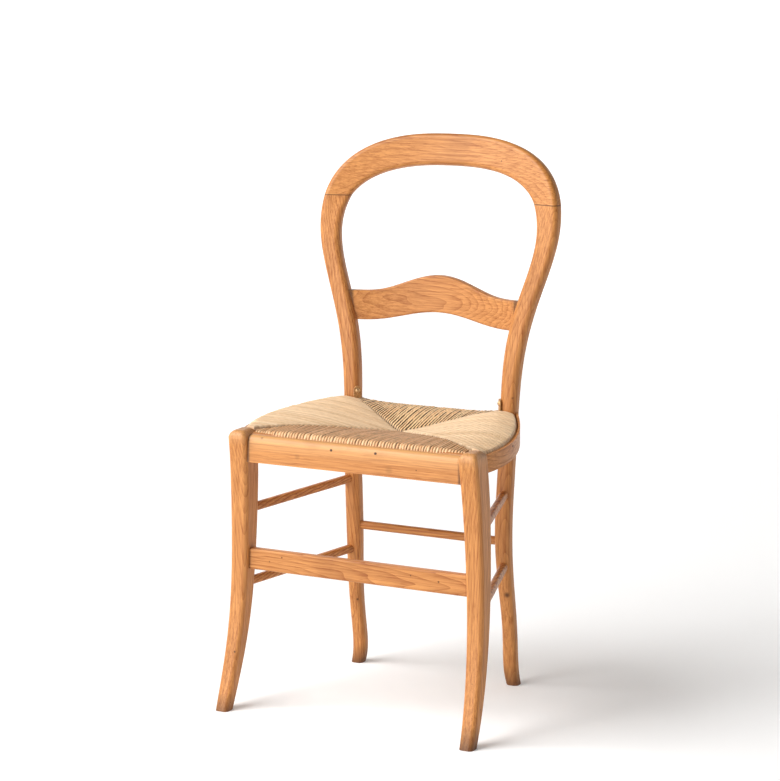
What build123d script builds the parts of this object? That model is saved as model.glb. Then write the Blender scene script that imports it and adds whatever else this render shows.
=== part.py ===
from build123d import *
import math
import os

os.makedirs("parts", exist_ok=True)

# Balloon-back dining chair with a woven straw seat. Sizes are in millimetres.
# X runs across the chair, Y from front to back, Z up from the floor.

# Back hoop: the outer and inner outlines of the arch above its widest height
hoop_height = 745
hoop_outer_half_width = 212.5
hoop_inner_half_width = 175.5
hoop_outer_rise = 147
hoop_inner_rise = 97
hoop_outer_roundness = 2.6
hoop_inner_roundness = 2.5
crest_joint_height = 790
crest_joint_depth = 150
crest_lean = 0.26
crest_bow = 23
crest_thickness = 22
crest_edge_radius = 8

# Rear posts, each one piece from the foot to the crest joint:
# height, half spread, depth, width, thickness, turn in degrees
post_stations = [
    (0, 143.5, 134, 21.5, 22, 0),
    (90, 139.5, 125, 22.5, 23, 0),
    (200, 136.3, 109.5, 25, 25.5, 0),
    (320, 137, 105.5, 26.5, 26.5, 0),
    (440, 140.6, 111, 27, 26.5, 0),
    (540, 145.8, 115.5, 30.5, 25.5, 2),
    (640, 168.5, 121.5, 32.5, 24, 5),
    (hoop_height, 193.5, 137.5, 36, 22.5, 7.5),
]
post_roundness = 0.36

# Front legs, with a domed head above the shoulder:
# height, half spread, depth, width, thickness
leg_shoulder_height = 436
leg_head_radius = 13
leg_stations = [
    (0, 213, -196.5, 23, 24),
    (80, 210.5, -167.5, 25.5, 28.5),
    (170, 207, -149, 28, 32),
    (270, 204, -143, 30, 37),
    (360, 201, -145, 31.5, 42),
    (leg_shoulder_height, 198.3, -153.5, 32, 44.5),
]
leg_edge_radius = 7

# Serpentine back rail between the posts
back_rail_top = 637
back_rail_bottom = 588.5
back_rail_top_rise = 29.5
back_rail_bottom_rise = 17.5
back_rail_rise_half_width = 125
back_rail_thickness = 15
back_rail_bow = 29
board_edge_radius = 3

# Joints
joint_clearance = 0.1
tenon_thickness = 8
tenon_margin = 6
bar_tenon_radius = 5
dowel_radius = 3.5
dowel_length = 30
dowel_spacing = 18

# Stretchers
front_stretcher_top = 256.5
front_stretcher_height = 34
front_stretcher_thickness = 14
front_stretcher_depth = -145
bar_width = 13
bar_height = 13.5
bar_edge_radius = 5
upper_bar_front_height = 316
upper_bar_rear_height = 326
lower_bar_front_height = 196.5
lower_bar_rear_height = 206
rear_bar_height = 246

# Seat frame hidden in the straw
rail_width = 18
rail_height = 20
rail_edge_radius = 4
rail_tenon_depth = 10
side_tenon_width = 6
side_tenon_height = 10
front_rail_depth = -141
front_crown = 449
rear_crown = 456
side_crown_front = 453
side_crown_rise = 16
side_rail_rise = 2

# Cover strips: the bowed outer face of the side strips in plan, front to back
seat_side_points = [(211, -140), (220, -67), (194.5, 32), (154.5, 114)]
side_strip_thickness = 3.5
side_strip_height = 28
side_strip_front_top = 441
side_strip_rise = 18
front_strip_top = 441.5
front_strip_height = 42.5
front_strip_thickness = 12
front_strip_face = -166
front_strip_edge_radius = 11

# Woven straw
straw_wrap = 6
straw_thickness = 38
straw_rear_swell = 3
seat_centre_depth = 3
seat_centre_height = 436
seat_flat_share = 0.86
seat_sag_power = 1.3

# Metal fittings
bracket_width = 14
bracket_thickness = 2
bracket_height = 31
bracket_foot = 22
bracket_facing = 57
screw_height = 473
screw_head_radius = 4.2
screw_head_height = 2.6
screw_slot = 0.9
screw_radius = 1.8
screw_length = 10
nail_head_radius = 2
nail_head_height = 0.8
nail_proud = 0.3
nail_radius = 0.9
nail_length = 24
front_nail_places = [(-35, 431.5), (41, 433.5)]
side_nail_places = [(0.34, 7), (0.9, 15)]


def smooth(height, stations, column):
    """Cubic curve through one column of the stations, slopes from the neighbours."""
    last = len(stations) - 1
    k = 0
    while k < last - 1 and height > stations[k + 1][0]:
        k += 1

    def slope(i):
        below = stations[max(i - 1, 0)]
        above = stations[min(i + 1, last)]
        return (above[column] - below[column]) / (above[0] - below[0])

    span = stations[k + 1][0] - stations[k][0]
    t = (height - stations[k][0]) / span
    start = stations[k][column] * (1 + 2 * t) * (1 - t) ** 2
    end = stations[k + 1][column] * t * t * (3 - 2 * t)
    bend = span * (slope(k) * t * (1 - t) ** 2 - slope(k + 1) * t * t * (1 - t))
    return start + end + bend


def left_point(point):
    return Vector(-point.X, point.Y, point.Z)


def left(shape):
    """The same piece on the other side of the chair."""
    return mirror(shape, about=Plane.YZ)


def both_sides(shape):
    return shape + left(shape)


def box_at(x, y, z, width, depth, height):
    return Pos(x, y, z) * Box(width, depth, height)


def rod(start, end, radius):
    run = end - start
    return extrude(Plane(origin=start, z_dir=run) * Circle(radius), run.length)


def bar_between(start, end, section):
    """A straight bar of the given section from one point to another."""
    run = end - start
    plane = Plane(origin=start, x_dir=run.cross(Vector(0, 0, 1)), z_dir=run)
    return extrude(plane * section, run.length)


def tenon(tip, depth, height, gap):
    """Tenon across the chair that ends at the tip; the gap turns it into its mortise."""
    length = depth + tenon_margin + gap
    middle = tip.X + gap - length / 2
    return box_at(middle, tip.Y, tip.Z, length, tenon_thickness + 2 * gap, height + 2 * gap)


def side_tenon(x, face, direction, z, gap):
    """Upright tenon from a side rail through the face of a leg or a post, front or rear."""
    length = rail_tenon_depth + tenon_margin + gap
    middle = face + direction * (rail_tenon_depth + gap - length / 2)
    return box_at(x, middle, z, side_tenon_width + 2 * gap, length, side_tenon_height + 2 * gap)


def long_edges(shape, length):
    return shape.edges().filter_by(lambda edge: edge.length > length)


# Back hoop
outer_arch = (hoop_outer_half_width, hoop_outer_rise, hoop_outer_roundness)
inner_arch = (hoop_inner_half_width, hoop_inner_rise, hoop_inner_roundness)


def arch_point(arch, share):
    """Point of a rounded arch; share runs from 0 at the crest joint to 1 at the top."""
    half_width, rise, roundness = arch
    start = math.asin(((crest_joint_height - hoop_height) / rise) ** (roundness / 2))
    turn = start + (math.pi / 2 - start) * share
    across = half_width * abs(math.cos(turn)) ** (2 / roundness)
    return across, hoop_height + rise * math.sin(turn) ** (2 / roundness)


joint_spread = (arch_point(outer_arch, 0)[0] + arch_point(inner_arch, 0)[0]) / 2


def crest_depth(x, z):
    """Middle surface of the crest: leaning back and hollow towards the sitter."""
    lean = crest_lean * (z - crest_joint_height)
    return crest_joint_depth + lean + crest_bow * (1 - (x / joint_spread) ** 2)


def crest_section(share, side):
    """Section of the crest on one side, from the joint (share 0) to the top (share 1)."""
    ends = []
    for arch in (outer_arch, inner_arch):
        x, z = arch_point(arch, share)
        ends.append(Vector(side * x, crest_depth(x, z), z))
    across = ends[0] - ends[1]
    middle = (ends[0] + ends[1]) * 0.5
    through = Vector(2 * crest_bow * middle.X / joint_spread ** 2, 1, -crest_lean * share)
    plane = Plane(origin=middle, x_dir=across, z_dir=across.cross(through))
    return plane * RectangleRounded(across.length, crest_thickness, crest_edge_radius)


def crest_rail():
    """Arched top of the hoop, sawn to shape and jointed to both posts."""
    sections = []
    for share in (0, 0.2, 0.4, 0.6, 0.8, 1):
        sections.append(crest_section(share, 1))
    for share in (0.8, 0.6, 0.4, 0.2, 0):
        sections.append(crest_section(share, -1))
    return loft(sections)


def crest_dowels(gap):
    """Two upright dowels across the right crest joint."""
    dowels = []
    turn = math.atan(2 * crest_bow / joint_spread)
    for step in (-dowel_spacing / 2, dowel_spacing / 2):
        x = joint_spread + step * math.cos(turn)
        y = crest_joint_depth - step * math.sin(turn)
        half = dowel_length / 2 + gap
        low = Vector(x, y, crest_joint_height - half)
        high = Vector(x, y, crest_joint_height + half)
        dowels.append(rod(low, high, dowel_radius + gap))
    return Compound(children=dowels)


# Posts and legs
def upright_section(x, y, z, width, thickness, turn, radius):
    a = math.radians(turn)
    plane = Plane(origin=(x, y, z), x_dir=(math.cos(a), -math.sin(a), 0), z_dir=(0, 0, 1))
    return plane * RectangleRounded(width, thickness, radius)


def rear_post():
    """Right rear post: leg, upright and lower part of the hoop in one sawn piece."""
    sections = []
    for z, x, y, width, thickness, turn in post_stations:
        radius = post_roundness * min(width, thickness)
        sections.append(upright_section(x, y, z, width, thickness, turn, radius))
    sections.append(crest_section(0, 1))
    return loft(sections)


def front_leg():
    """Right front leg, swept forward to the foot, with a domed head."""
    sections = []
    for z, x, y, width, thickness in leg_stations:
        sections.append(upright_section(x, y, z, width, thickness, 0, leg_edge_radius))
    z, x, y, width, thickness = leg_stations[-1]
    dome = []
    for turn in (0, 30, 55, 75):
        inset = leg_head_radius * (1 - math.cos(math.radians(turn)))
        rise = leg_head_radius * math.sin(math.radians(turn))
        radius = leg_edge_radius - 0.3 * inset
        dome.append(upright_section(x, y, z + rise, width - 2 * inset, thickness - 2 * inset, 0, radius))
    return loft(sections) + loft(dome)


def post_axis(z):
    return Vector(smooth(z, post_stations, 1), smooth(z, post_stations, 2), z)


def leg_axis(z):
    return Vector(smooth(z, leg_stations, 1), smooth(z, leg_stations, 2), z)


# Serpentine back rail
def back_rail_blank(reach):
    """Serpentine rail, bowed in plan, before its ends are cut to the posts."""

    def wave(base, rise):
        points = []
        for k in range(-8, 9):
            x = reach.X * k / 8
            swell = math.cos(math.pi * min(abs(x) / back_rail_rise_half_width, 1))
            points.append((x, base + rise * (1 + swell) / 2))
        return points

    top = wave(back_rail_top, back_rail_top_rise)
    low = wave(back_rail_bottom, back_rail_bottom_rise)
    front_view = make_face(Spline(*top) + Line(top[-1], low[-1]) + Spline(*low) + Line(low[0], top[0]))
    face = reach.Y - back_rail_thickness / 2
    back = reach.Y + back_rail_thickness / 2
    plan = make_face(
        ThreePointArc((-reach.X, face), (0, face + back_rail_bow), (reach.X, face))
        + Line((reach.X, face), (reach.X, back))
        + ThreePointArc((reach.X, back), (0, back + back_rail_bow), (-reach.X, back))
        + Line((-reach.X, back), (-reach.X, face))
    )
    board = extrude(Plane.XZ * front_view, 300, both=True) & extrude(plan, 1000)
    return fillet(long_edges(board, reach.X), board_edge_radius)


# Seat
def seat_side(inset):
    """Points of the bowed seat side in plan, set in from the strip's outer face."""
    edge = Spline(*seat_side_points)
    points = []
    for k in range(7):
        run = edge % (k / 6)
        points.append((edge @ (k / 6)) + Vector(-run.Y, run.X, 0) * inset)
    return points


def side_band(inset, width):
    """Plan of a bowed lath or rail along the right side of the seat."""
    outer = seat_side(inset)
    inner = seat_side(inset + width)
    ends = Line(outer[-1], inner[-1]) + Line(inner[0], outer[0])
    return make_face(Spline(*outer) + Spline(*inner) + ends)


def sloping_slab(front_top, rise, height):
    """Everything between two planes that rise together from the front to the back of the seat."""
    front = seat_side_points[0][1]
    rear = seat_side_points[-1][1]
    reach = (rear - front) / 2
    points = []
    for y in (front - reach, rear + reach):
        points.append((y, front_top + rise * (y - front) / (rear - front)))
    low = [(y, z - height) for y, z in reversed(points)]
    outline = make_face(Polyline(*points, *low, close=True))
    return extrude(Plane.YZ * outline, 2 * hoop_outer_half_width, both=True)


straw_front = front_strip_face + front_strip_thickness
rear_rail_end = post_axis(rear_crown - straw_wrap - rail_height / 2)
straw_rear = rear_rail_end.Y + rail_width / 2 + straw_wrap


def seat_height_at(x, y, centre, drop):
    """Height of the straw: crowned over the four rails and sunk towards the centre."""
    sides = [(point_y, point_x) for point_x, point_y in seat_side_points]
    behind = y > seat_centre_depth
    end = straw_rear if behind else straw_front
    along = min((y - seat_centre_depth) / (end - seat_centre_depth), 1)
    y = min(max(y, sides[0][0]), sides[-1][0])
    across = min(abs(x) / smooth(y, sides, 1), 1)
    share = across ** 6 / (across ** 6 + along ** 6 + 1e-6)
    end_crown = rear_crown if behind else front_crown
    side_crown = side_crown_front + side_crown_rise * (y - sides[0][0]) / (sides[-1][0] - sides[0][0])
    crown = end_crown + (side_crown - end_crown) * share - drop
    out = min((across ** 6 + along ** 6) ** (1 / 6) / seat_flat_share, 1)
    return centre + (crown - centre) * math.sin(math.pi / 2 * out) ** seat_sag_power


def seat_sheet(centre, drop):
    """A sagging surface over the whole seat."""
    half = max(x for x, y in seat_side_points) + straw_wrap
    front = straw_front - straw_wrap
    rear = straw_rear + 2 * straw_wrap
    rows = []
    for i in range(13):
        x = half * (i / 6 - 1)
        row = []
        for j in range(13):
            y = front + (rear - front) * j / 12
            row.append(Vector(x, y, seat_height_at(x, y, centre, drop)))
        rows.append(row)
    return Face.make_surface_from_array_of_points(rows)


def seat_plan(front, inset, rear_half, rear, swell):
    """Plan of the seat: straight front, bowed sides and a slightly bowed rear edge."""
    side = seat_side(inset)
    corner = Vector(side[0].X, front, 0)
    end = Vector(rear_half, rear, 0)
    half = Line(corner, side[0]) + Spline(*side) + Line(side[-1], end)
    across = Line(left_point(corner), corner) + ThreePointArc(end, (0, rear + swell, 0), left_point(end))
    return make_face(half + left(half) + across)


def between_sheets(plan):
    """The seat above its plan, between the sagging top and the underside."""
    top = seat_sheet(seat_centre_height, 0)
    low = seat_sheet(seat_centre_height - straw_thickness + 2 * straw_wrap, straw_thickness)
    above = extrude(top, 300, dir=(0, 0, 1))
    below = extrude(low, 500, dir=(0, 0, -1))
    return extrude(plan, 600) - above - below


# Metal fittings
def screw(seat, axis):
    """Round-head slotted screw: its head sits on the seat point, its shank runs along the axis."""
    ball = (screw_head_radius ** 2 + screw_head_height ** 2) / (2 * screw_head_height)
    head = Pos(0, 0, ball - screw_head_height) * Sphere(ball)
    head &= Pos(0, 0, -screw_head_height / 2) * Box(4 * ball, 4 * ball, screw_head_height)
    head -= Pos(0, 0, -screw_head_height) * Box(screw_slot, 4 * ball, screw_head_height)
    shank = Pos(0, 0, screw_length / 2) * Cylinder(screw_radius, screw_length)
    return Plane(origin=seat, z_dir=axis) * (head + shank)


def nail(seat, axis):
    """Flat-head nail driven in until its head stands just proud of the seat point."""
    head = Pos(0, 0, nail_head_height / 2) * Cylinder(nail_head_radius, nail_head_height)
    shank = Pos(0, 0, nail_length / 2) * Cylinder(nail_radius, nail_length)
    return Plane(origin=seat, z_dir=axis) * (Pos(0, 0, -nail_proud) * (head + shank))


def save(shape, name):
    shape.label = name
    export_step(shape, "parts/" + name + ".step")
    print(name, round(shape.volume), len(shape.solids()), shape.is_valid)


post = rear_post()
leg = front_leg()
posts = both_sides(post)
legs = both_sides(leg)
post_sockets = []
leg_sockets = []

# Serpentine back rail, tenoned into the posts
back_tip = post_axis((back_rail_top + back_rail_bottom) / 2)
back_tenon_depth = smooth(back_tip.Z, post_stations, 3) / 2
back_tenon_height = back_rail_top - back_rail_bottom - 2 * tenon_margin
back_rail = back_rail_blank(back_tip) - posts
back_sweep = 2 * math.atan(back_rail_bow / back_tip.X)
back_tenon_tip = back_tip + Vector(0, back_tenon_depth * math.tan(back_sweep), 0)
back_rail += both_sides(tenon(back_tenon_tip, back_tenon_depth, back_tenon_height, 0))
post_sockets.append(tenon(back_tenon_tip, back_tenon_depth, back_tenon_height, joint_clearance))

# Front stretcher board, tenoned into the front legs
board_height = front_stretcher_top - front_stretcher_height / 2
board_tip = Vector(leg_axis(board_height).X, front_stretcher_depth, board_height)
board_tenon_depth = smooth(board_height, leg_stations, 3) / 2
board_tenon_height = front_stretcher_height - 2 * tenon_margin
board_profile = RectangleRounded(front_stretcher_thickness, front_stretcher_height, board_edge_radius)
front_stretcher = bar_between(left_point(board_tip), board_tip, board_profile) - legs
front_stretcher += both_sides(tenon(board_tip, board_tenon_depth, board_tenon_height, 0))
leg_sockets.append(tenon(board_tip, board_tenon_depth, board_tenon_height, joint_clearance))

# Rounded bars: two on each side and one at the rear, with round tenons
bar_profile = RectangleRounded(bar_width, bar_height, bar_edge_radius)
bar_ends = {
    "upper_side_stretcher": (leg_axis(upper_bar_front_height), post_axis(upper_bar_rear_height)),
    "lower_side_stretcher": (leg_axis(lower_bar_front_height), post_axis(lower_bar_rear_height)),
    "rear_stretcher": (left_point(post_axis(rear_bar_height)), post_axis(rear_bar_height)),
}
bars = {}
for name, (start, end) in bar_ends.items():
    bar = bar_between(start, end, bar_profile) - legs - posts
    bars[name] = bar + rod(start, end, bar_tenon_radius)
    reach = (end - start).normalized() * joint_clearance
    socket = rod(start - reach, end + reach, bar_tenon_radius + joint_clearance)
    post_sockets.append(socket)
    leg_sockets.append(socket)

# Straight front and rear seat rails, tenoned across the chair
rail_profile = RectangleRounded(rail_width, rail_height, rail_edge_radius)
rail_tenon_height = rail_height - tenon_margin
front_rail_height = front_crown - straw_wrap - rail_height / 2
front_rail_end = Vector(leg_axis(front_rail_height).X, front_rail_depth, front_rail_height)
leg_inner_face = front_rail_end.X - smooth(front_rail_height, leg_stations, 3) / 2
front_tip = Vector(leg_inner_face + rail_tenon_depth, front_rail_depth, front_rail_height)
front_rail = bar_between(left_point(front_rail_end), front_rail_end, rail_profile) - legs
front_rail += both_sides(tenon(front_tip, rail_tenon_depth, rail_tenon_height, 0))
leg_sockets.append(tenon(front_tip, rail_tenon_depth, rail_tenon_height, joint_clearance))

post_inner_face = rear_rail_end.X - smooth(rear_rail_end.Z, post_stations, 3) / 2
rear_tip = Vector(post_inner_face + rail_tenon_depth, rear_rail_end.Y, rear_rail_end.Z)
rear_rail = bar_between(left_point(rear_rail_end), rear_rail_end, rail_profile) - posts
rear_rail += both_sides(tenon(rear_tip, rail_tenon_depth, rail_tenon_height, 0))
post_sockets.append(tenon(rear_tip, rail_tenon_depth, rail_tenon_height, joint_clearance))

# Bowed side rails, tenoned into the backs of the legs and the fronts of the posts
side_rail_top = side_crown_front - straw_wrap
side_rail = extrude(side_band(side_strip_thickness + straw_wrap, rail_width), 600)
side_rail &= sloping_slab(side_rail_top, side_rail_rise, rail_height)
side_rail = fillet(long_edges(side_rail, 150), rail_edge_radius)
side_rail = side_rail - legs - posts - front_rail - rear_rail
side_rail = max(side_rail.solids(), key=lambda solid: solid.volume)
post_front_face = rear_rail_end.Y - smooth(rear_rail_end.Z, post_stations, 4) / 2
leg_rear_face = leg_axis(front_rail_height).Y + smooth(front_rail_height, leg_stations, 4) / 2
tenon_shift = side_tenon_width / 2 + 10 * joint_clearance
front_place = (front_tip.X + tenon_shift, leg_rear_face, -1, side_rail_top - rail_height / 2)
rear_place = (rear_tip.X + tenon_shift, post_front_face, 1, side_rail_top + side_rail_rise - rail_height / 2)
side_rail += side_tenon(*front_place, 0)
side_rail += side_tenon(*rear_place, 0)
leg_sockets.append(side_tenon(*front_place, joint_clearance))
post_sockets.append(side_tenon(*rear_place, joint_clearance))

# Cover strips outside the straw
front_strip = box_at(
    0,
    front_strip_face + front_strip_thickness / 2,
    front_strip_top - front_strip_height / 2,
    2 * front_rail_end.X,
    front_strip_thickness,
    front_strip_height,
)
front_edge = front_strip.edges().filter_by(Axis.X).group_by(Axis.Z)[-1].sort_by(Axis.Y)[0]
front_strip = fillet(front_edge, front_strip_edge_radius) - legs
side_strip = extrude(side_band(0, side_strip_thickness), 600)
side_strip &= sloping_slab(side_strip_front_top, side_strip_rise, side_strip_height)
side_strip = side_strip - legs - posts

# Corner brackets: an upright leaf on the post's inner front corner and a foot on the rear rail
foot_level = rear_crown - straw_wrap
foot_post = post_axis(foot_level)
foot_post_width = smooth(foot_level, post_stations, 3)
foot_post_depth = smooth(foot_level, post_stations, 4)
corner_radius = post_roundness * min(foot_post_width, foot_post_depth)
corner_x = foot_post.X - foot_post_width / 2 + corner_radius
corner_y = foot_post.Y - foot_post_depth / 2 + corner_radius
facing = Vector(-math.sin(math.radians(bracket_facing)), -math.cos(math.radians(bracket_facing)), 0)
leaf_back = Vector(corner_x, corner_y, foot_level) + facing * (corner_radius + joint_clearance)
leaf_plane = Plane(origin=leaf_back, x_dir=facing.cross(Vector(0, 0, 1)), z_dir=facing)
leaf_straight = bracket_height - bracket_width / 2
leaf_outline = Pos(0, -leaf_straight / 2) * Rectangle(bracket_width, leaf_straight)
leaf_outline += Pos(0, -leaf_straight) * Circle(bracket_width / 2)
bracket = extrude(leaf_plane * leaf_outline, bracket_thickness)
bracket += box_at(
    post_inner_face - bracket_foot / 2,
    rear_rail_end.Y,
    foot_level + bracket_thickness / 2,
    bracket_foot,
    bracket_width,
    bracket_thickness,
)
leaf_front = leaf_back + facing * bracket_thickness
post_screw = screw(Vector(leaf_front.X, leaf_front.Y, screw_height), facing * -1)
foot_place = Vector(post_inner_face - bracket_foot * 0.6, rear_rail_end.Y, foot_level + bracket_thickness)
foot_screw = screw(foot_place, Vector(0, 0, -1))
screws = post_screw + foot_screw
bracket -= posts
bracket -= screws

# Nails through the cover strips into the rails
front_nails = []
for x, z in front_nail_places:
    front_nails.append(nail(Vector(x, front_strip_face, z), Vector(0, 1, 0)))
side_nails = []
side_edge = Spline(*seat_side_points)
for share, drop in side_nail_places:
    place = side_edge @ share
    run = side_edge % share
    rise = side_strip_rise * (place.Y - seat_side_points[0][1])
    rise /= seat_side_points[-1][1] - seat_side_points[0][1]
    seat = Vector(place.X, place.Y, side_strip_front_top + rise - drop)
    side_nails.append(nail(seat, Vector(-run.Y, run.X, 0)))
front_nails = Compound(children=front_nails)
side_nails = Compound(children=side_nails)

# Straw wound round the four rails
straw_outline = seat_plan(straw_front, side_strip_thickness, rear_rail_end.X, straw_rear, straw_rear_swell)
straw = between_sheets(straw_outline)
fixed_in_straw = [posts, legs, front_rail, rear_rail, front_nails]
fixed_in_straw += [both_sides(piece) for piece in (side_rail, bracket, screws, side_nails)]
for piece in fixed_in_straw:
    straw -= piece

# Holes for the fixings, sockets for the tenons
holes = crest_dowels(joint_clearance)
crest = crest_rail() - both_sides(holes)
post_sockets += [holes, screws]
for socket in post_sockets:
    post -= socket
for socket in leg_sockets:
    leg -= socket
rear_rail -= both_sides(screws)
front_rail -= front_nails
front_strip -= front_nails
side_rail -= side_nails
side_strip -= side_nails

paired = {
    "rear_post": post,
    "front_leg": leg,
    "upper_side_stretcher": bars["upper_side_stretcher"],
    "lower_side_stretcher": bars["lower_side_stretcher"],
    "side_seat_rail": side_rail,
    "side_cover_strip": side_strip,
    "corner_bracket": bracket,
}
for name, piece in paired.items():
    save(piece, name + "_right")
    save(left(piece), name + "_left")

single = {
    "crest_rail": crest,
    "crest_dowels": both_sides(crest_dowels(0)),
    "back_rail": back_rail,
    "front_stretcher": front_stretcher,
    "rear_stretcher": bars["rear_stretcher"],
    "front_seat_rail": front_rail,
    "rear_seat_rail": rear_rail,
    "front_cover_strip": front_strip,
    "straw_seat": straw,
    "bracket_screws": both_sides(screws),
    "front_strip_nails": front_nails,
    "side_strip_nails": both_sides(side_nails),
}
for name, piece in single.items():
    save(piece, name)
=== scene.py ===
import math

import bmesh
import bpy
import numpy as np
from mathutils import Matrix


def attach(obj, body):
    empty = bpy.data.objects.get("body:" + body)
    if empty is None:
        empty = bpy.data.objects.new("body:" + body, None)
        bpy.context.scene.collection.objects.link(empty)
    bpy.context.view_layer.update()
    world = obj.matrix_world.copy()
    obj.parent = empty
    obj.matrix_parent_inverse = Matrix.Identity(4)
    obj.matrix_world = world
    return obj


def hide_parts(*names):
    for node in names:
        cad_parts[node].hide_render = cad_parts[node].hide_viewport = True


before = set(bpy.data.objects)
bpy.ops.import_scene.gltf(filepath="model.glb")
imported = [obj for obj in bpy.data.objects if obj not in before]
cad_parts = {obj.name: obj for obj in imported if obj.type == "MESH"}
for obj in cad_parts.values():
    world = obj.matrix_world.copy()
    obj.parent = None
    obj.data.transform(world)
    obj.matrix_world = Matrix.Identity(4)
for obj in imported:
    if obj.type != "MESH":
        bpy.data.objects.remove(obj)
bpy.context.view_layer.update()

# Rear posts: leg, upright and hoop shoulder sawn from one piece of honey-coloured wood,
# varnished and worn, dirty where the feet meet the floor.
HONEY_LIGHT = (0.62, 0.272, 0.079, 1)
HONEY_DARK = (0.26, 0.068, 0.012, 1)
# Pale for the tops of the front legs and front strip: partly worn varnish, partly painted highlight and
# sheen where the lamp falls on them.
WORN_AND_LIT_PALE = (0.86, 0.53, 0.25, 1)
# Dark for stains, worm holes, marks, joints and dirt, and also painted shade at the ends of pieces where
# they meet the next.
STAIN_AND_SHADE = (0.055, 0.02, 0.008, 1)
RINGS_PER_METRE = 230
RING_WANDER = 0.022
WORM_HOLES_PER_METRE = 24
CREST_JOINT = 0.790


def new_material(name):
    """A material with its node tree and its main shader."""
    material = bpy.data.materials.new(name)
    material.use_nodes = True
    return material, material.node_tree, material.node_tree.nodes["Principled BSDF"]


def number_nodes(tree):
    """Shorthand for a tree's number nodes: arithmetic, and a clamped change of range."""
    def maths(kind, first, second=0.0):
        node = tree.nodes.new("ShaderNodeMath")
        node.operation = kind
        for socket, value in zip(node.inputs, (first, second)):
            if isinstance(value, (int, float)):
                socket.default_value = value
            else:
                tree.links.new(value, socket)
        return node.outputs[0]

    def spread(value, low, high, to_low, to_high):
        node = tree.nodes.new("ShaderNodeMapRange")
        tree.links.new(value, node.inputs["Value"])
        numbers = {"From Min": low, "From Max": high, "To Min": to_low, "To Max": to_high}
        for key, number in numbers.items():
            node.inputs[key].default_value = number
        return node.outputs["Result"]

    return maths, spread


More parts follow.
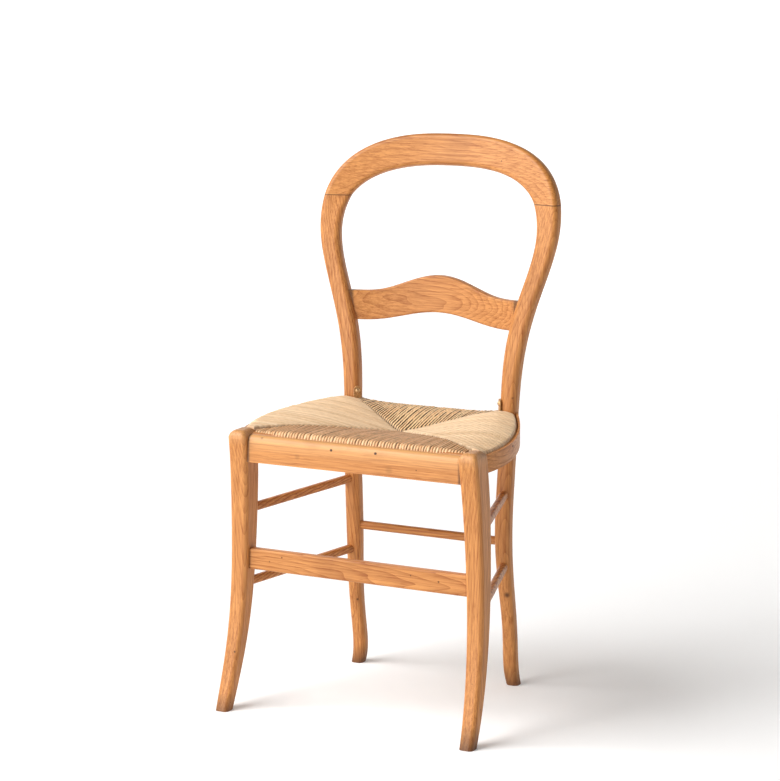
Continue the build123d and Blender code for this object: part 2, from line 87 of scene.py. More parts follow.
def worn_wood(name, grain, pith, figure, shift, marks=(), joint=None, ends=None, worn_and_lit_top=None):
    """Varnished wood: growth rings round a pith line that leans across the grain, fine streaks and
    pores along it, grime in patches, worm holes and marks, a dark joint line or painted shade at the
    ends where the piece meets a leg or post, a pale top that is partly worn varnish and partly painted
    highlight and sheen, dirt at the feet. The pith has its place and lean on the two axes across the
    grain, and each mark its place, radius and strength."""
    material, tree, shader = new_material(name)
    maths, spread = number_nodes(tree)
    place = tree.nodes.new("ShaderNodeTexCoord")
    split = tree.nodes.new("ShaderNodeSeparateXYZ")
    tree.links.new(place.outputs["Object"], split.inputs[0])

    def stretched(along, across):
        mapping = tree.nodes.new("ShaderNodeMapping")
        scale = [across, across, across]
        scale["XYZ".index(grain)] = along
        mapping.inputs["Scale"].default_value = scale
        mapping.inputs["Location"].default_value = (shift, 1.7 * shift, 0.6 * shift)
        tree.links.new(place.outputs["Object"], mapping.inputs["Vector"])
        return mapping.outputs["Vector"]

    def noise(vector, detail, rough):
        node = tree.nodes.new("ShaderNodeTexNoise")
        node.inputs["Scale"].default_value = 1.0
        node.inputs["Detail"].default_value = detail
        node.inputs["Roughness"].default_value = rough
        tree.links.new(vector, node.inputs["Vector"])
        return node.outputs["Fac"]

    def blended(share, first, second):
        node = tree.nodes.new("ShaderNodeMix")
        node.data_type = "RGBA"
        tree.links.new(share, node.inputs["Factor"])
        for key, value in ((6, first), (7, second)):
            if isinstance(value, tuple):
                node.inputs[key].default_value = value
            else:
                tree.links.new(value, node.inputs[key])
        return node.outputs[2]

    def from_pith(axis, middle, lean):
        leaning = maths("MULTIPLY", split.outputs[grain], lean)
        off = maths("SUBTRACT", maths("SUBTRACT", split.outputs[axis], middle), leaning)
        return maths("MULTIPLY", off, off)

    streaks = noise(stretched(5, 380), 5, 0.6)
    pores = noise(stretched(38, 1000), 2, 0.5)
    wander = noise(stretched(5, 24), 2, 0.45)
    first_axis, second_axis = [axis for axis in "XYZ" if axis != grain]
    off_first = from_pith(first_axis, pith[0], pith[2])
    off_second = from_pith(second_axis, pith[1], pith[3])
    radius = maths("SQRT", maths("ADD", off_first, off_second))
    rings = maths("ADD", radius, maths("MULTIPLY", wander, RING_WANDER))
    rings = maths("FRACT", maths("MULTIPLY", rings, RINGS_PER_METRE))
    dark_lines = maths("MULTIPLY", maths("POWER", rings, 4.0), 0.7)
    late_wood = maths("ADD", maths("MULTIPLY", rings, 0.3), dark_lines)
    tone = maths("ADD", spread(streaks, 0.36, 0.66, 0.0, 0.5), maths("MULTIPLY", late_wood, figure))
    tone = maths("ADD", tone, spread(pores, 0.56, 0.7, 0.0, 0.35))
    colour = blended(tone, HONEY_LIGHT, HONEY_DARK)
    # Painted light: the top is paled, partly worn varnish and partly painted highlight and sheen where the
    # lamp falls on it.
    if worn_and_lit_top:
        worn_and_lit_share = spread(split.outputs["Z"], worn_and_lit_top[0], worn_and_lit_top[1], 0.0, worn_and_lit_top[2])
        colour = blended(worn_and_lit_share, colour, WORN_AND_LIT_PALE)
    grime = spread(noise(stretched(9, 14), 4, 0.6), 0.5, 0.75, 0.0, 0.4)
    colour = blended(grime, colour, tuple(0.7 * value for value in HONEY_DARK[:3]) + (1,))
    uneven_height = maths("ADD", split.outputs["Z"], maths("MULTIPLY", wander, 0.03))
    dark = spread(uneven_height, 0.012, 0.05, 0.85, 0.0)
    worms = tree.nodes.new("ShaderNodeTexVoronoi")
    worms.inputs["Scale"].default_value = WORM_HOLES_PER_METRE
    tree.links.new(place.outputs["Object"], worms.inputs["Vector"])
    dark = maths("MAXIMUM", dark, spread(worms.outputs["Distance"], 0.018, 0.034, 0.9, 0.0))
    for spot in marks:
        away = tree.nodes.new("ShaderNodeVectorMath")
        away.operation = "DISTANCE"
        tree.links.new(place.outputs["Object"], away.inputs[0])
        away.inputs[1].default_value = spot[:3]
        dark = maths("MAXIMUM", dark, spread(away.outputs["Value"], 0.3 * spot[3], spot[3], spot[4], 0.0))
    if joint:
        gap = maths("ABSOLUTE", maths("SUBTRACT", split.outputs["Z"], joint))
        dark = maths("MAXIMUM", dark, spread(gap, 0.0004, 0.0011, 0.8, 0.0))
    # Painted shade at the ends, where the piece meets or passes behind a leg or post.
    if ends:
        across = maths("ABSOLUTE", split.outputs[ends[0]])
        dark = maths("MAXIMUM", dark, spread(across, ends[1], ends[2], 0.0, 0.75))
    colour = blended(dark, colour, STAIN_AND_SHADE)
    tree.links.new(colour, shader.inputs["Base Color"])
    tree.links.new(spread(streaks, 0.3, 0.7, 0.36, 0.54), shader.inputs["Roughness"])
    shader.inputs["Specular IOR Level"].default_value = 0.2
    shader.inputs["Coat Weight"].default_value = 0.22
    shader.inputs["Coat Roughness"].default_value = 0.36
    bump = tree.nodes.new("ShaderNodeBump")
    bump.inputs["Strength"].default_value = 0.25
    bump.inputs["Distance"].default_value = 0.0006
    tree.links.new(maths("ADD", streaks, maths("MULTIPLY", pores, 0.6)), bump.inputs["Height"])
    tree.links.new(bump.outputs["Normal"], shader.inputs["Normal"])
    return material


def finish_node(name, material):
    """One material over the whole of a CAD piece."""
    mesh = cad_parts[name].data
    mesh.materials.clear()
    mesh.materials.append(material)


finish_node("rear_post_right", worn_wood(
    "post_wood_right", "Z", (0.02, 0.30, 0.05, -0.1), 0.34, 0.0,
    marks=((0.1435, 0.103, 0.1584, 0.006, 0.8), (0.1509, 0.1011, 0.4837, 0.0025, 0.6)),
    joint=CREST_JOINT))
finish_node("rear_post_left", worn_wood(
    "post_wood_left", "Z", (-0.03, 0.28, -0.04, -0.08), 0.5, 3.1,
    marks=((-0.1329, 0.11, 0.1156, 0.003, 0.8),), joint=CREST_JOINT))

# Crest rail and serpentine back rail: sawn boards, the crest with fine straight grain and
# dowelled to the posts, the back rail with a dark wandering figure and tenoned in.
finish_node("crest_rail", worn_wood(
    "crest_wood", "X", (0.36, 0.62, 0.03, -0.02), 0.34, 1.3, joint=CREST_JOINT))
finish_node("crest_dowels", worn_wood("dowel_wood", "Z", (0.0, 0.0, 0.0, 0.0), 0.2, 0.4))
# The back rail has painted shade at both ends, where it passes behind the posts.
finish_node("back_rail", worn_wood(
    "back_rail_wood", "X", (0.19, 0.62, 0.12, 0.05), 0.4, 2.2, ends=("X", 0.1415, 0.1455)))

# Front legs: the same varnished wood, each sawn from one piece, swept forward to the foot and
# rounded over at the head, where the end grain is darker and the top is paled, partly by wear and
# partly as a painted highlight. The front and side seat rails and the stretchers are tenoned into them.
finish_node("front_leg_right", worn_wood(
    "leg_wood_right", "Z", (0.05, -0.30, 0.04, 0.08), 0.36, 4.4,
    marks=((0.206, -0.145, 0.4486, 0.022, 0.3),), worn_and_lit_top=(0.425, 0.445, 0.25)))
finish_node("front_leg_left", worn_wood(
    "leg_wood_left", "Z", (-0.05, -0.32, -0.03, 0.09), 0.36, 5.7,
    marks=((-0.2031, -0.1789, 0.0918, 0.0024, 0.9), (-0.206, -0.145, 0.4486, 0.022, 0.3)),
    worn_and_lit_top=(0.425, 0.445, 0.25)))

# Stretchers: a flat board in front with a bold figure, and rounded bars at the sides and rear,
# all tenoned into the legs and posts.
# The front stretcher has painted shade at both ends, against the legs.
finish_node("front_stretcher", worn_wood(
    "front_stretcher_wood", "X", (-0.115, 0.225, 0.10, 0.07), 0.5, 6.3,
    marks=((0.1416, -0.152, 0.2408, 0.0022, 0.9), (-0.131, -0.152, 0.2476, 0.0018, 0.9),
           (-0.1532, -0.152, 0.2385, 0.0016, 0.8)), ends=("X", 0.186, 0.191)))
finish_node("rear_stretcher", worn_wood("rear_stretcher_wood", "X", (0.3, 0.1, 0.0, 0.05), 0.5, 7.9))
side_bar_wood = worn_wood("side_stretcher_wood", "Y", (0.0, 0.0, 0.05, 0.1), 0.85, 8.6)
for level in ("upper", "lower"):
    for side in ("left", "right"):
        finish_node(level + "_side_stretcher_" + side, side_bar_wood)

# Seat frame: plain rails that the straw is wound round, tenoned into the legs and posts,
# and thin cover strips nailed on outside the straw.
rail_wood_across = worn_wood("seat_rail_wood_across", "X", (0.3, 0.2, 0.0, 0.0), 0.4, 9.2)
rail_wood_along = worn_wood("seat_rail_wood_along", "Y", (0.0, 0.2, 0.0, 0.0), 0.4, 9.9)
finish_node("front_seat_rail", rail_wood_across)
finish_node("rear_seat_rail", rail_wood_across)
for side in ("left", "right"):
    finish_node("side_seat_rail_" + side, rail_wood_along)
    finish_node("side_cover_strip_" + side, worn_wood(
        "strip_wood_" + side, "Y", (0.0, 0.2, 0.0, 0.05), 0.4, 10.5))
# The front strip has painted shade at both ends, in the gaps against the leg heads, and its rounded top is
# paled, partly by wear and partly as painted light and sheen falling on it.
finish_node("front_cover_strip", worn_wood(
    "front_strip_wood", "X", (0.1, 0.25, 0.0, 0.03), 0.26, 11.4,
    marks=((0.064, -0.166, 0.4097, 0.008, 0.25), (-0.0944, -0.166, 0.4152, 0.006, 0.25),
           (-0.1586, -0.1625, 0.4385, 0.003, 0.5)),
    ends=("X", 0.1785, 0.1815), worn_and_lit_top=(0.415, 0.438, 0.35)))

# Corner brackets, screws and nails: brackets of dull, tarnished brass, fixed to the posts' inner front
# corners with round-head screws, and small rusty nails driven through the cover strips.
BRASS = (0.84, 0.60, 0.32, 1)
TARNISH = (0.34, 0.16, 0.06, 1)
LEAF_BRASS = (0.66, 0.36, 0.14, 1)
RUST = (0.10, 0.05, 0.025, 1)
RUST_DARK = (0.035, 0.02, 0.014, 1)


def aged_metal(name, light, dark, metallic):
    """Aged metal: light metal spotted with darker tarnish."""
    material, tree, shader = new_material(name)
    place = tree.nodes.new("ShaderNodeTexCoord")
    spots = tree.nodes.new("ShaderNodeTexNoise")
    spots.inputs["Scale"].default_value = 420
    spots.inputs["Detail"].default_value = 5
    tree.links.new(place.outputs["Object"], spots.inputs["Vector"])
    ramp = tree.nodes.new("ShaderNodeValToRGB")
    ramp.color_ramp.elements[0].position = 0.42
    ramp.color_ramp.elements[0].color = light
    ramp.color_ramp.elements[1].position = 0.68
    ramp.color_ramp.elements[1].color = dark
    tree.links.new(spots.outputs["Fac"], ramp.inputs["Fac"])
    tree.links.new(ramp.outputs["Color"], shader.inputs["Base Color"])
    shader.inputs["Metallic"].default_value = metallic
    shader.inputs["Roughness"].default_value = 0.45
    return material


dull_brass = aged_metal("dull_brass", LEAF_BRASS, TARNISH, 0.3)
screw_brass = aged_metal("screw_brass", BRASS, TARNISH, 0.6)
rusty_metal = aged_metal("rusty_metal", RUST, RUST_DARK, 0.3)
for name in ("corner_bracket_left", "corner_bracket_right"):
    finish_node(name, dull_brass)
finish_node("bracket_screws", screw_brass)
for name in ("front_strip_nails", "side_strip_nails"):
    finish_node(name, rusty_metal)

# Woven straw seat: twisted straw cords wound over and under the four rails, in four panels that
# meet on the diagonals. Each panel is one closed surface with a ridge for every cord.
SEAT_SIDE_Y = np.array([-0.140, -0.067, 0.032, 0.114])
SEAT_SIDE_X = np.array([0.211, 0.220, 0.1945, 0.1545])
STRIP_THICKNESS = 0.0035
STRAW_FRONT = -0.154
STRAW_REAR = 0.1262
STRAW_INSET = 0.0012
FRONT_PANEL_END = 0.1815
REAR_PANEL_END = 0.126
SIDE_PANEL_ENDS = (-0.135, 0.0972)
SEAT_CENTRE_Y = 0.003
CENTRE_TOP = 0.436
CENTRE_LOW = 0.410
FRONT_CROWN = 0.449
REAR_CROWN = 0.456
SIDE_CROWN_FRONT = 0.453
SIDE_CROWN_RISE = 0.016
STRAW_THICKNESS = 0.038
CORD_PITCH = 0.0049
CORD_UNEVEN = 0.00022
CORD_SINK = 0.0003
SHORTEST_CORD = 0.0015
SEAM_DIP = 0.004
FLAT_RIM_START = 0.86
SAG_POWER = 1.3
CORNER_POWER = 6
SLOPE_REACH = 0.055
END_CORDS = 10
STEPS_PER_CORD = 6
TOP_STEPS = 25
TURN_STEPS = 12
LOW_STEPS = 10
CAP_PLACE = (0.5, 10.0)
# Painted shade in the gaps between the cords and along the seams.
GAP_SHADE = (0.06, 0.026, 0.01, 1)
LEG_CORNER = (0.183, -0.131)
POST_CORNER = (0.1275, 0.098)


def seat_half_width(y):
    """Cubic through the four points of the seat's bowed side."""
    cubic = np.polyfit(SEAT_SIDE_Y, SEAT_SIDE_X, 3)
    return np.polyval(cubic, np.clip(y, SEAT_SIDE_Y[0], SEAT_SIDE_Y[-1]))


def straw_level(x, y, centre, drop):
    """Crown height at the rim, blended between the rails, falling to the centre along a sine."""
    behind = y > SEAT_CENTRE_Y
    end = np.where(behind, STRAW_REAR, STRAW_FRONT)
    along = np.clip((y - SEAT_CENTRE_Y) / (end - SEAT_CENTRE_Y), 0, 1)
    across = np.clip(np.abs(x) / seat_half_width(y), 0, 1)
    sideways = across ** CORNER_POWER
    lengthways = along ** CORNER_POWER
    share = sideways / (sideways + lengthways + 1e-6)
    end_crown = np.where(behind, REAR_CROWN, FRONT_CROWN)
    side_length = SEAT_SIDE_Y[-1] - SEAT_SIDE_Y[0]
    depth = (np.clip(y, SEAT_SIDE_Y[0], SEAT_SIDE_Y[-1]) - SEAT_SIDE_Y[0]) / side_length
    crown = end_crown + (SIDE_CROWN_FRONT + SIDE_CROWN_RISE * depth - end_crown) * share - drop
    out = np.minimum((sideways + lengthways) ** (1 / CORNER_POWER) / FLAT_RIM_START, 1)
    return centre + (crown - centre) * np.sin(np.pi / 2 * out) ** SAG_POWER


def diagonal_reach(side_y):
    """Distance from the centre line to the panel seam at a depth, straight to the leg and post corners."""
    forward = LEG_CORNER[0] * (SEAT_CENTRE_Y - side_y) / (SEAT_CENTRE_Y - LEG_CORNER[1])
    backward = POST_CORNER[0] * (side_y - SEAT_CENTRE_Y) / (POST_CORNER[1] - SEAT_CENTRE_Y)
    return np.maximum(forward, backward)


def cord_panel(name, spots, rim, seam, to_xy, roll, fall, end_dip, relief, seed):
    """Closed panel of cords. Across: one ridge per cord, a half ellipse of the cord's width. Along: from
    the seam on top out to the rim, round it on a half ellipse of depth roll, back underneath to the seam
    and up again, so the loop closes. Fall lowers the rim, end_dip the last cords at both ends."""
    random = np.random.default_rng(seed)
    count = len(spots) - 1
    step = np.linspace(0, 1, STEPS_PER_CORD + 1)[:-1]
    across = (spots[:-1, None] + np.diff(spots)[:, None] * step[None, :]).ravel()
    across = np.append(across, spots[-1])
    ridge = np.sqrt(np.maximum(1 - (2 * np.append(np.tile(step, count), 0.0) - 1) ** 2, 0))
    cord_index = np.append(np.repeat(np.arange(count), STEPS_PER_CORD), count - 1)
    from_end = np.minimum(np.arange(count), np.arange(count)[::-1])
    lift = random.normal(0, CORD_UNEVEN, count) - end_dip * np.clip(1 - from_end / END_CORDS, 0, 1)
    lift = lift[cord_index]
    run_top = np.linspace(0, 1, TOP_STEPS + 1)[:-1]
    turn = np.linspace(0, np.pi, TURN_STEPS + 1)[:-1]
    run_low = np.linspace(0, 1, LOW_STEPS)
    rims = rim(across)[:, None]
    seams = seam(across)[:, None]
    span = rims - seams
    flat = np.sign(span) * np.maximum(np.abs(span) - roll, SHORTEST_CORD)
    edge = seams + flat
    out_top = seams + flat * run_top[None, :]
    out_turn = edge + (rims - edge) * np.sin(turn)[None, :]
    out_low = edge - flat * run_low[None, :]
    out = np.concatenate([out_top, out_turn, out_low], axis=1)
    x, y = to_xy(across[:, None] + 0 * out, out)
    slope_reach = np.minimum(SLOPE_REACH, 0.9 * np.abs(span))
    slope_share = np.clip(1 - (np.abs(span) - np.abs(out - seams)) / slope_reach, 0, 1)
    top = straw_level(x, y, CENTRE_TOP, 0) - fall * slope_share ** 2
    low = straw_level(x, y, CENTRE_LOW, STRAW_THICKNESS)
    share = np.concatenate([np.zeros(TOP_STEPS), (1 - np.cos(turn)) / 2, np.ones(LOW_STEPS)])[None, :]
    z = top + (low - top) * share
    direction = np.concatenate([np.ones(TOP_STEPS), np.cos(turn), -np.ones(LOW_STEPS)])[None, :]
    sink = relief * (1 - ridge[:, None]) - lift[:, None]
    z = z - direction * sink - direction * CORD_SINK
    sideways = np.sin(np.concatenate([np.zeros(TOP_STEPS), turn, np.zeros(LOW_STEPS)]))[None, :]
    out = out - np.sign(span) * sideways * sink
    z[:, 0] -= SEAM_DIP
    z[:, -1] += SEAM_DIP
    x, y = to_xy(across[:, None] + 0 * out, out)
    rows, columns = x.shape
    corner = np.arange(rows * columns).reshape(rows, columns)
    here = corner[:-1, :].ravel()
    there = corner[1:, :].ravel()
    quads = np.stack([here, there, np.roll(corner[1:, :], -1, axis=1).ravel(),
                      np.roll(corner[:-1, :], -1, axis=1).ravel()], axis=1)
    faces = quads.tolist() + [corner[0].tolist(), corner[-1, ::-1].tolist()]
    mesh = bpy.data.meshes.new(name)
    mesh.from_pydata(np.stack([x.ravel(), y.ravel(), z.ravel()], axis=1).tolist(), [], faces)
    shell = bmesh.new()
    shell.from_mesh(mesh)
    bmesh.ops.recalc_face_normals(shell, faces=shell.faces)
    shell.to_mesh(mesh)
    shell.free()
    rounded = np.ones(len(mesh.polygons), dtype=bool)
    rounded[-2:] = False
    mesh.polygons.foreach_set("use_smooth", rounded)
    stride = np.sqrt(np.diff(x, axis=1) ** 2 + np.diff(y, axis=1) ** 2 + np.diff(z, axis=1) ** 2)
    travel = np.concatenate([np.zeros((rows, 1)), np.cumsum(stride, axis=1)], axis=1)
    cord_place = np.append(np.repeat(np.arange(count), STEPS_PER_CORD) + np.tile(step, count), count)
    cord_place = np.broadcast_to(cord_place[:, None], travel.shape)
    place = np.stack([cord_place.ravel(), (travel / CORD_PITCH).ravel()], axis=1)
    loops = np.empty(len(mesh.loops), dtype=np.int32)
    mesh.loops.foreach_get("vertex_index", loops)
    layer = mesh.uv_layers.new(name="cord_place")
    spot = place[loops].astype(np.float32)
    spot[-2 * columns:] = CAP_PLACE
    layer.data.foreach_set("uv", spot.ravel())
    mesh.validate()
    panel = bpy.data.objects.new(name, mesh)
    bpy.context.scene.collection.objects.link(panel)
    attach(panel, "root")
    return panel


def straw(name, light, dark, depth, sharpness, pairing, teeth):
    """Twisted straw: slanting strands inside each cord, one tone per cord, painted shade in the gaps
    between the cords, which open and close, every second gap closed up by the pairing, painted shade in
    teeth where the cords end at a seam and in a band along the seam. Depth sets the painted shade in
    the gaps, teeth the painted shade near the seam."""
    material, tree, shader = new_material(name)
    maths, spread = number_nodes(tree)
    place = tree.nodes.new("ShaderNodeUVMap")
    place.uv_map = "cord_place"
    split = tree.nodes.new("ShaderNodeSeparateXYZ")
    tree.links.new(place.outputs["UV"], split.inputs[0])
    inside = maths("FRACT", split.outputs["X"])
    cord = maths("FLOOR", split.outputs["X"])
    tone = tree.nodes.new("ShaderNodeTexWhiteNoise")
    tone.noise_dimensions = "1D"
    tree.links.new(cord, tone.inputs["W"])
    slant = maths("ADD", maths("MULTIPLY", inside, 1.1), maths("MULTIPLY", split.outputs["Y"], 0.42))
    strand = maths("ABSOLUTE", maths("SINE", maths("MULTIPLY", slant, math.pi)))
    fibre_place = tree.nodes.new("ShaderNodeCombineXYZ")
    tree.links.new(maths("MULTIPLY", split.outputs["X"], 7.0), fibre_place.inputs[0])
    tree.links.new(maths("MULTIPLY", split.outputs["Y"], 0.55), fibre_place.inputs[1])
    fibre = tree.nodes.new("ShaderNodeTexNoise")
    fibre.inputs["Scale"].default_value = 1.0
    fibre.inputs["Detail"].default_value = 4
    tree.links.new(fibre_place.outputs[0], fibre.inputs["Vector"])
    between = maths("FLOOR", maths("ADD", split.outputs["X"], 0.5))
    opening_place = tree.nodes.new("ShaderNodeCombineXYZ")
    tree.links.new(maths("MULTIPLY", between, 7.31), opening_place.inputs[0])
    tree.links.new(maths("MULTIPLY", split.outputs["Y"], 0.22), opening_place.inputs[1])
    opening = tree.nodes.new("ShaderNodeTexNoise")
    opening.inputs["Scale"].default_value = 1.0
    opening.inputs["Detail"].default_value = 1
    tree.links.new(opening_place.outputs[0], opening.inputs["Vector"])
    # Painted shade in the gaps between the cords, near the seam and along it.
    open_share = spread(opening.outputs["Fac"], 0.36, 0.6, 0.12, 1.0)
    edge = maths("ABSOLUTE", maths("SUBTRACT", maths("MULTIPLY", inside, 2.0), 1.0))
    second = maths("MODULO", maths("ABSOLUTE", between), 2.0)
    paired = maths("SUBTRACT", 1.0, maths("MULTIPLY", second, pairing))
    open_share = maths("MULTIPLY", open_share, paired)
    gap = maths("MULTIPLY", maths("MULTIPLY", maths("POWER", edge, sharpness), open_share), depth)
    near_seam = spread(split.outputs["Y"], 5.0, 9.0, teeth, 0.0)
    gap = maths("MAXIMUM", gap, maths("MULTIPLY", near_seam, spread(edge, 0.3, 0.8, 0.0, 1.0)))
    gap = maths("MAXIMUM", gap, spread(split.outputs["Y"], 0.0, 1.5, 0.7, 0.0))
    cord_tone = maths("MULTIPLY", tone.outputs["Value"], 0.55)
    shade = maths("ADD", maths("MULTIPLY", fibre.outputs["Fac"], 0.7), cord_tone)
    shade = maths("SUBTRACT", shade, maths("MULTIPLY", strand, 0.25))
    ramp = tree.nodes.new("ShaderNodeValToRGB")
    ramp.color_ramp.elements[0].position = 0.1
    ramp.color_ramp.elements[0].color = light
    ramp.color_ramp.elements[1].position = 0.85
    ramp.color_ramp.elements[1].color = dark
    tree.links.new(shade, ramp.inputs["Fac"])
    mix = tree.nodes.new("ShaderNodeMix")
    mix.data_type = "RGBA"
    tree.links.new(gap, mix.inputs["Factor"])
    tree.links.new(ramp.outputs["Color"], mix.inputs[6])
    mix.inputs[7].default_value = GAP_SHADE
    tree.links.new(mix.outputs[2], shader.inputs["Base Color"])
    shader.inputs["Roughness"].default_value = 0.55
    bump = tree.nodes.new("ShaderNodeBump")
    bump.inputs["Strength"].default_value = 0.5
    bump.inputs["Distance"].default_value = 0.0006
    relief = maths("ADD", strand, maths("MULTIPLY", fibre.outputs["Fac"], 0.6))
    tree.links.new(relief, bump.inputs["Height"])
    tree.links.new(bump.outputs["Normal"], shader.inputs["Normal"])
    return material


def cord_spots(low, high, seed):
    """Edges of the cords between two ends, each cord up to a fifth wider or narrower than the pitch."""
    count = int(round((high - low) / CORD_PITCH))
    widths = np.random.default_rng(seed).uniform(0.8, 1.2, count)
    return low + (high - low) * np.append(0.0, np.cumsum(widths)) / widths.sum()


def seam_depth(x, corner):
    """Depth of the panel seam at a distance from the centre line."""
    return SEAT_CENTRE_Y + (corner[1] - SEAT_CENTRE_Y) * np.abs(x) / corner[0]


# The three straw finishes are one straw in painted light: the side panels paler, as lit, the front and
# rear panels darker and more orange, as shaded, with more painted shade in their gaps.
front_straw = straw(
    "front_straw", light=(0.97, 0.62, 0.34, 1), dark=(0.70, 0.37, 0.17, 1),
    depth=0.97, sharpness=1.5, pairing=0.35, teeth=0.5)
rear_straw = straw(
    "rear_straw", light=(1.0, 0.72, 0.40, 1), dark=(0.97, 0.58, 0.29, 1),
    depth=1.7, sharpness=1.3, pairing=0.6, teeth=1.0)
side_straw = straw(
    "side_straw", light=(0.92, 0.69, 0.45, 1), dark=(0.71, 0.46, 0.25, 1),
    depth=0.35, sharpness=1.7, pairing=0.0, teeth=0.3)
front_panel = cord_panel(
    "straw_front_panel", cord_spots(-FRONT_PANEL_END, FRONT_PANEL_END, 11),
    rim=lambda s: STRAW_FRONT + STRAW_INSET + 0 * s, seam=lambda s: seam_depth(s, LEG_CORNER),
    to_xy=lambda s, out: (s, out), roll=0.011, fall=0.0, end_dip=0.005, relief=0.0025, seed=1)
rear_panel = cord_panel(
    "straw_rear_panel", cord_spots(-REAR_PANEL_END, REAR_PANEL_END, 12),
    rim=lambda s: STRAW_REAR + 0 * s, seam=lambda s: seam_depth(s, POST_CORNER),
    to_xy=lambda s, out: (s, out), roll=0.011, fall=0.0, end_dip=0.0, relief=0.0014, seed=2)
side_panels = []
for side, name, roll, fall in ((1, "right", 0.005, 0.008), (-1, "left", 0.014, 0.0)):
    side_panels.append(cord_panel(
        "straw_" + name + "_panel", cord_spots(*SIDE_PANEL_ENDS, 13),
        rim=lambda s: side * (seat_half_width(s) - STRIP_THICKNESS - STRAW_INSET),
        seam=lambda s: side * diagonal_reach(s), to_xy=lambda s, out: (out, s),
        roll=roll, fall=fall, end_dip=0.0, relief=0.0012, seed=3 + side))
front_panel.data.materials.append(front_straw)
rear_panel.data.materials.append(rear_straw)
for panel in side_panels:
    panel.data.materials.append(side_straw)
for panel in (front_panel, rear_panel, *side_panels):
    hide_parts("straw_seat")

# Studio: a round pale floor that curves up into a plain low wall, white behind the chair and greyer at
# the sides, with a large soft light at the left and a weak one in front, shown in plain tones.
FLOOR_REACH = 5.5
COVE_RADIUS = 1.5
WALL_TOP = 3.8
WALL_GREY = (0.42, 0.42, 0.42, 1)
FLOOR_WHITE = (0.9, 0.9, 0.9, 1)
FLOOR_STEPS = 7
COVE_STEPS = 16
ROUND_STEPS = 96
bpy.context.scene.view_settings.view_transform = "Standard"
sweep = np.linspace(0, np.pi / 2, COVE_STEPS + 1)
flat_run = np.linspace(0.2, FLOOR_REACH, FLOOR_STEPS + 1)[:-1]
cove_run = FLOOR_REACH + COVE_RADIUS * np.sin(sweep)
studio_run = np.concatenate([flat_run, cove_run, [FLOOR_REACH + COVE_RADIUS]])
studio_rise = np.concatenate([np.zeros(FLOOR_STEPS), COVE_RADIUS * (1 - np.cos(sweep)), [WALL_TOP]])
around = np.linspace(0, 2 * np.pi, ROUND_STEPS + 1)[:-1]
studio_x = np.outer(np.cos(around), studio_run)
studio_y = np.outer(np.sin(around), studio_run)
studio_z = np.broadcast_to(studio_rise, studio_x.shape)
studio_points = np.stack([studio_x, studio_y, studio_z], axis=2).reshape(-1, 3)
here = np.arange(len(studio_points)).reshape(studio_x.shape)
there = np.roll(here, -1, axis=0)
studio_quads = np.stack([here[:, :-1], here[:, 1:], there[:, 1:], there[:, :-1]], axis=2).reshape(-1, 4)
floor_mesh = bpy.data.meshes.new("floor")
floor_mesh.from_pydata(studio_points.tolist(), [], studio_quads.tolist() + [here[:, 0].tolist()])
floor_mesh.polygons.foreach_set("use_smooth", np.ones(len(floor_mesh.polygons), dtype=bool))
floor = bpy.data.objects.new("floor", floor_mesh)
bpy.context.scene.collection.objects.link(floor)
floor_paint, floor_tree, floor_shader = new_material("floor_paint")
floor_maths, floor_spread = number_nodes(floor_tree)
floor_shader.inputs["Roughness"].default_value = 0.9
floor_shader.inputs["Emission Color"].default_value = (1, 1, 1, 1)
floor_place = floor_tree.nodes.new("ShaderNodeTexCoord")
floor_split = floor_tree.nodes.new("ShaderNodeSeparateXYZ")
floor_tree.links.new(floor_place.outputs["Object"], floor_split.inputs[0])
low_down = floor_spread(floor_split.outputs["Z"], 0.02, 0.8, 1.0, 0.0)
far_behind = floor_spread(floor_split.outputs["Y"], 1.0, 4.5, 0.0, 1.0)
white_share = floor_maths("MAXIMUM", low_down, far_behind)
glow = floor_spread(floor_split.outputs["Y"], 0.3, 4.0, 0.17, 0.42)
floor_tree.links.new(glow, floor_shader.inputs["Emission Strength"])
floor_tone = floor_tree.nodes.new("ShaderNodeMix")
floor_tone.data_type = "RGBA"
floor_tone.inputs[6].default_value = WALL_GREY
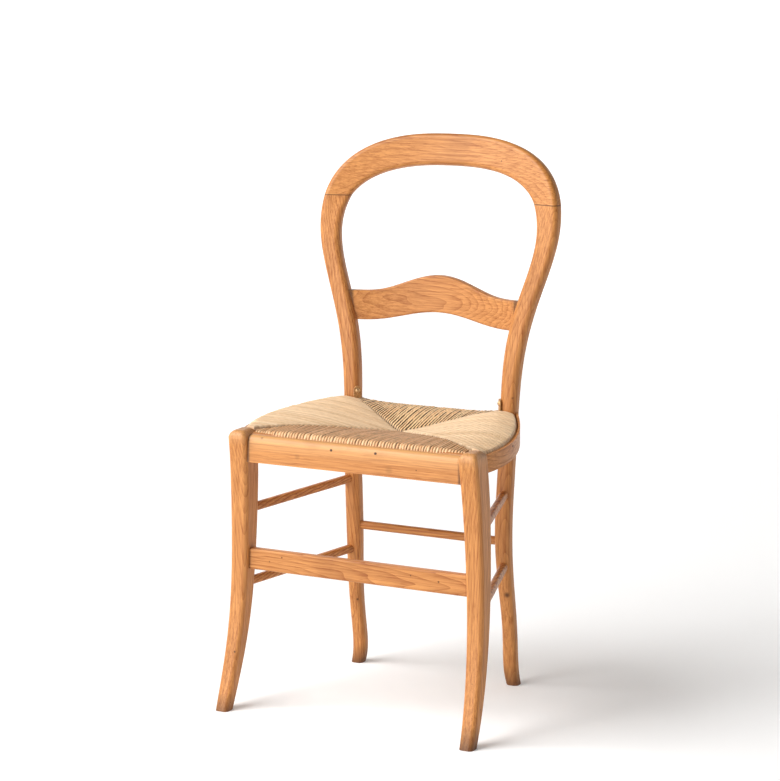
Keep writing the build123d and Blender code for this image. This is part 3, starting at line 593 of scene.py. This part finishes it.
floor_tone.inputs[7].default_value = FLOOR_WHITE
floor_tree.links.new(white_share, floor_tone.inputs["Factor"])
floor_tree.links.new(floor_tone.outputs[2], floor_shader.inputs["Base Color"])
floor_mesh.materials.append(floor_paint)


def facing(place, target):
    """The turn that points a light or a camera from its place at a target."""
    toward = np.array(target) - np.array(place)
    level_run = math.hypot(toward[0], toward[1])
    return math.atan2(level_run, -toward[2]), 0, math.atan2(-toward[0], toward[1])


def soft_light(name, place, target, size, power):
    """A square area light at a place, facing a target."""
    lamp = bpy.data.lights.new(name, "AREA")
    lamp.shape = "SQUARE"
    lamp.size = size
    lamp.energy = power
    lamp_object = bpy.data.objects.new(name, lamp)
    lamp_object.location = place
    lamp_object.rotation_euler = facing(place, target)
    bpy.context.scene.collection.objects.link(lamp_object)


soft_light("window_left", (-3.5, -3.2, 4.8), (0, 0, 0.5), 4.6, 560)
soft_light("front_fill", (-1.4, -3.4, 0.9), (0, 0, 0.45), 1.6, 40)
world = bpy.data.worlds.new("pale_surround")
world.use_nodes = True
world.node_tree.nodes["Background"].inputs["Color"].default_value = (1, 0.78, 0.56, 1)
world.node_tree.nodes["Background"].inputs["Strength"].default_value = 0.06
bpy.context.scene.world = world

# Camera: at the right of the chair's front and well above the seat, as in the photograph, with a
# long lens. Its focal length is given in rows of a picture that is PICTURE_ROWS high.
CAMERA_PLACE = (1.6589, -3.3477, 1.1864)
CAMERA_TARGET = (0.0, -0.034, 0.506)
SENSOR_HEIGHT = 36
FOCAL_ROWS = 2399
PICTURE_ROWS = 781
camera_data = bpy.data.cameras.new("camera")
camera_data.sensor_fit = "VERTICAL"
camera_data.sensor_height = SENSOR_HEIGHT
camera_data.lens = SENSOR_HEIGHT * FOCAL_ROWS / PICTURE_ROWS
camera = bpy.data.objects.new("camera", camera_data)
camera.location = CAMERA_PLACE
camera.rotation_euler = facing(CAMERA_PLACE, CAMERA_TARGET)
bpy.context.scene.collection.objects.link(camera)
bpy.context.scene.camera = camera
